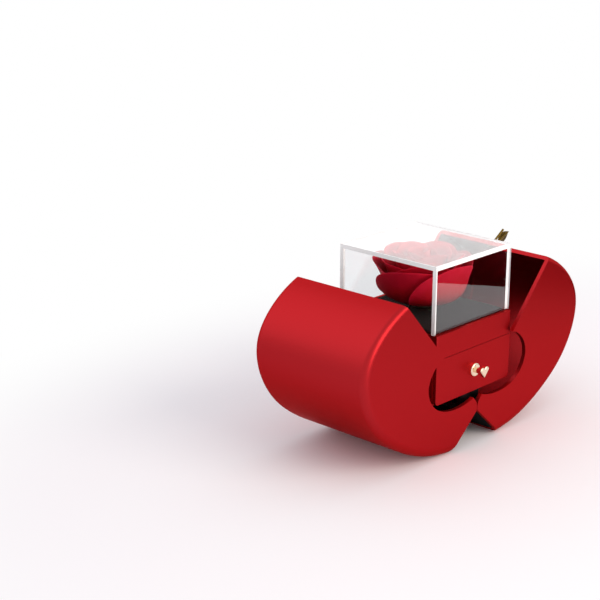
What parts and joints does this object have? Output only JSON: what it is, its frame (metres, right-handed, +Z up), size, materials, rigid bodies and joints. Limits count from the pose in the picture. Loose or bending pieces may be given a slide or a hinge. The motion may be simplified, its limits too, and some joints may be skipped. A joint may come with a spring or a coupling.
{
  "type": "apple gift box",
  "caption": "Jewellery gift box shaped like an apple, with geared half shells, a drawer with a heart knob, and a rose under a clear cover.",
  "frame": {"origin": "middle of the floor area under the open box", "axes": "+X to the right half seen from the drawer side, +Y from the drawer to the back, +Z up"},
  "size_m": [0.208, 0.0902, 0.1173],
  "materials": {
    "red_lacquer": "metallic lacquer",
    "red_tray": "moulded",
    "black_flock": "flocked foam",
    "black_board": "moulded",
    "red_petal": "preserved petals",
    "green_calyx": "preserved calyx",
    "clear_acrylic": "polished",
    "gold": "polished gold plate",
    "steel": "plated",
    "gear_plastic": "moulded"
  },
  "bodies": {
    "centre_block": {"block_housing": "red_lacquer", "flower_bed": "black_flock", "rose_calyx": "green_calyx", "rose_core": "red_petal", "rose_inner_petals": "red_petal", "rose_middle_petals": "red_petal", "rose_outer_petals": "red_petal", "front_hinge_bracket": "steel", "rear_hinge_bracket": "steel", "bracket_screws": "steel", "left_hinge_shaft": "steel", "right_hinge_shaft": "steel", "shaft_clips": "steel"},
    "left_half": {"left_shell": "red_lacquer", "left_base_plate": "black_board", "left_front_gear": "gear_plastic", "left_rear_gear": "gear_plastic", "left_gear_screws": "steel"},
    "right_half": {"right_shell": "red_lacquer", "right_base_plate": "black_board", "right_front_gear": "gear_plastic", "right_rear_gear": "gear_plastic", "right_gear_screws": "steel", "stem": "gold", "leaf": "gold", "stem_nut": "gold"},
    "drawer": {"drawer_front": "red_lacquer", "drawer_tray": "red_tray", "drawer_insert": "black_flock", "knob_base": "gold", "knob_heart": "gold", "knob_screw": "steel"},
    "cover": {"cover_front_pane": "clear_acrylic", "cover_rear_pane": "clear_acrylic", "cover_left_pane": "clear_acrylic", "cover_right_pane": "clear_acrylic", "cover_top_pane": "clear_acrylic"}
  },
  "joints": [
    {"name": "left_half_swing", "type": "hinge", "parent": "centre_block", "child": "left_half", "pos_m": [-0.006, 0.0024, 0.02431], "axis": [0, 1, 0], "range_deg": [0, 42]},
    {"name": "right_half_swing", "type": "hinge", "parent": "centre_block", "child": "right_half", "pos_m": [0.006, 0.0024, 0.02431], "axis": [0, -1, 0], "range_deg": [0, 42]},
    {"name": "drawer_slide", "type": "slide", "parent": "centre_block", "child": "drawer", "axis": [0, -1, 0], "range_m": [0, 0.084]},
    {"name": "cover_lift", "type": "slide", "parent": "centre_block", "child": "cover", "axis": [0, 0, 1], "range_m": [0, 0.08]}
  ],
  "couplings": [
    {"joint": "right_half_swing", "follows": "left_half_swing", "ratio": 1}
  ]
}
